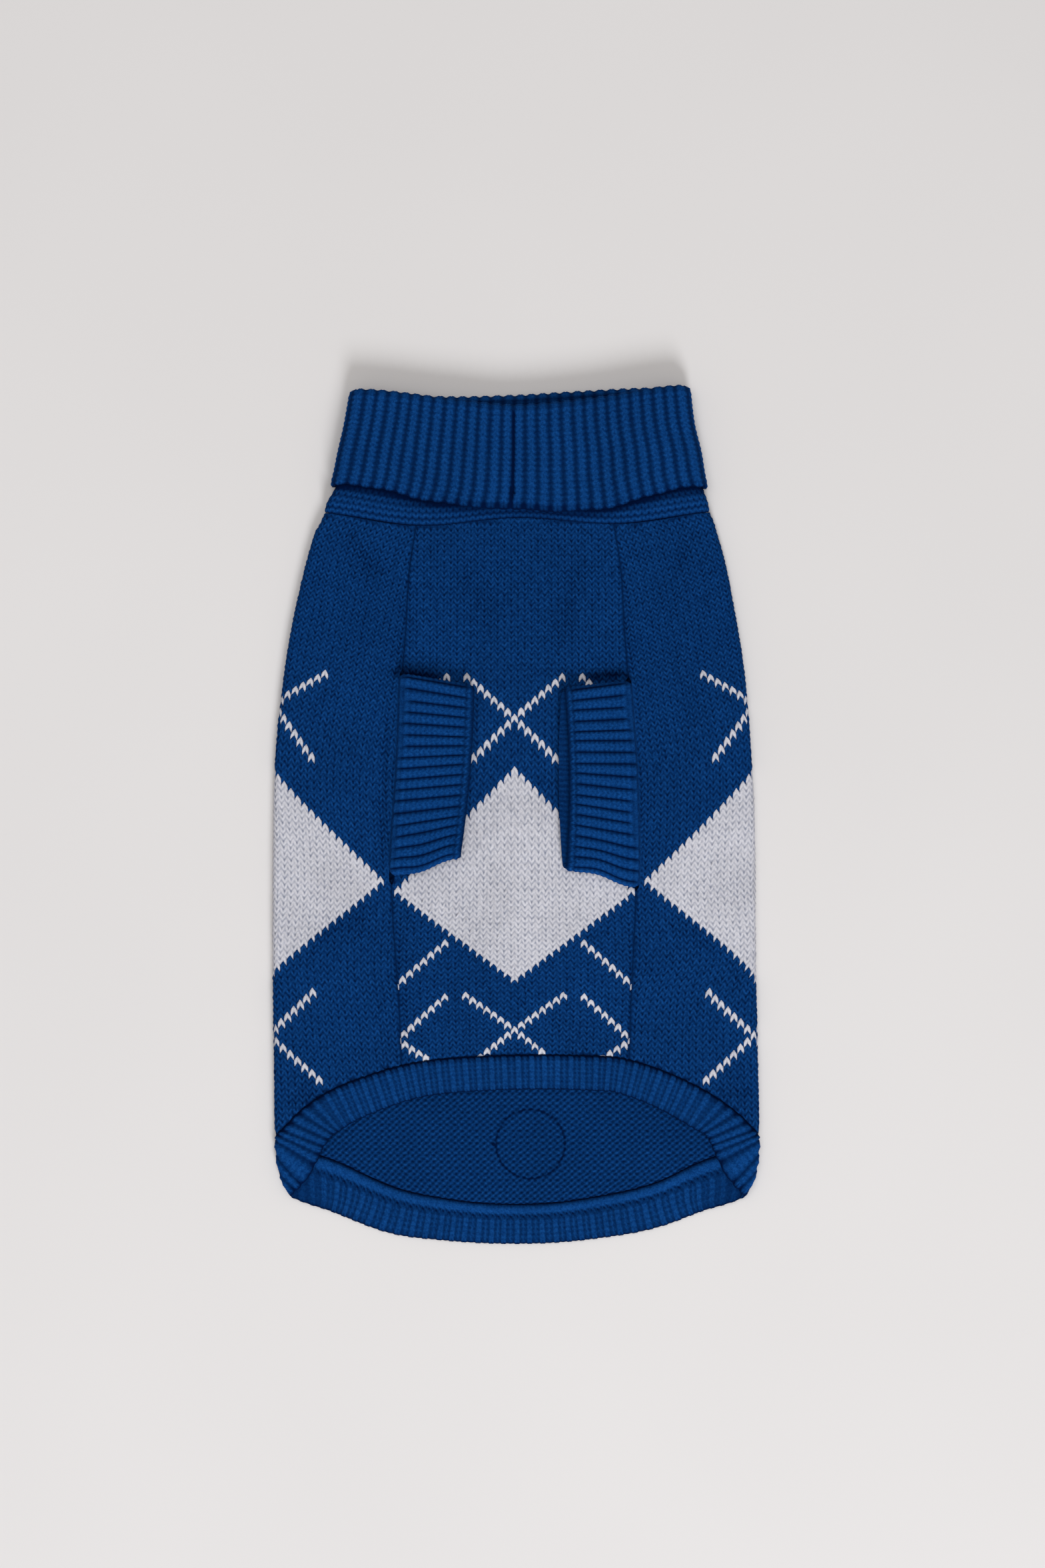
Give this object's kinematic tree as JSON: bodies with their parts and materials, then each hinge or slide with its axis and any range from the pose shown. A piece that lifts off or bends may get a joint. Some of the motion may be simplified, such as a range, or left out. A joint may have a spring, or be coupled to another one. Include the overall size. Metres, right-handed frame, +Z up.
{
  "type": "dog sweater",
  "caption": "Knitted sweater for a dog, laid flat with its belly side up: argyle body, folded ribbed turtleneck, ribbed leg sleeves laid inwards and a ribbed hem that is longer at the back.",
  "frame": {"origin": "on the floor, under the middle of the sweater's bounding box", "axes": "+X across the sweater, towards the picture's right; +Y from the hem to the neck; +Z up from the floor, out of the belly side"},
  "size_m": [0.2627, 0.4625, 0.015],
  "materials": {
    "knit": "matt stockinette knit in royal blue yarn with a white argyle pattern",
    "rib": "matt 1x1 rib knit in royal blue yarn"
  },
  "bodies": {
    "root": {"back_panel": "knit", "belly_panel": "knit", "collar": "rib", "sleeve_left": "rib", "sleeve_right": "rib", "hem_band": "rib"}
  },
  "joints": []
}
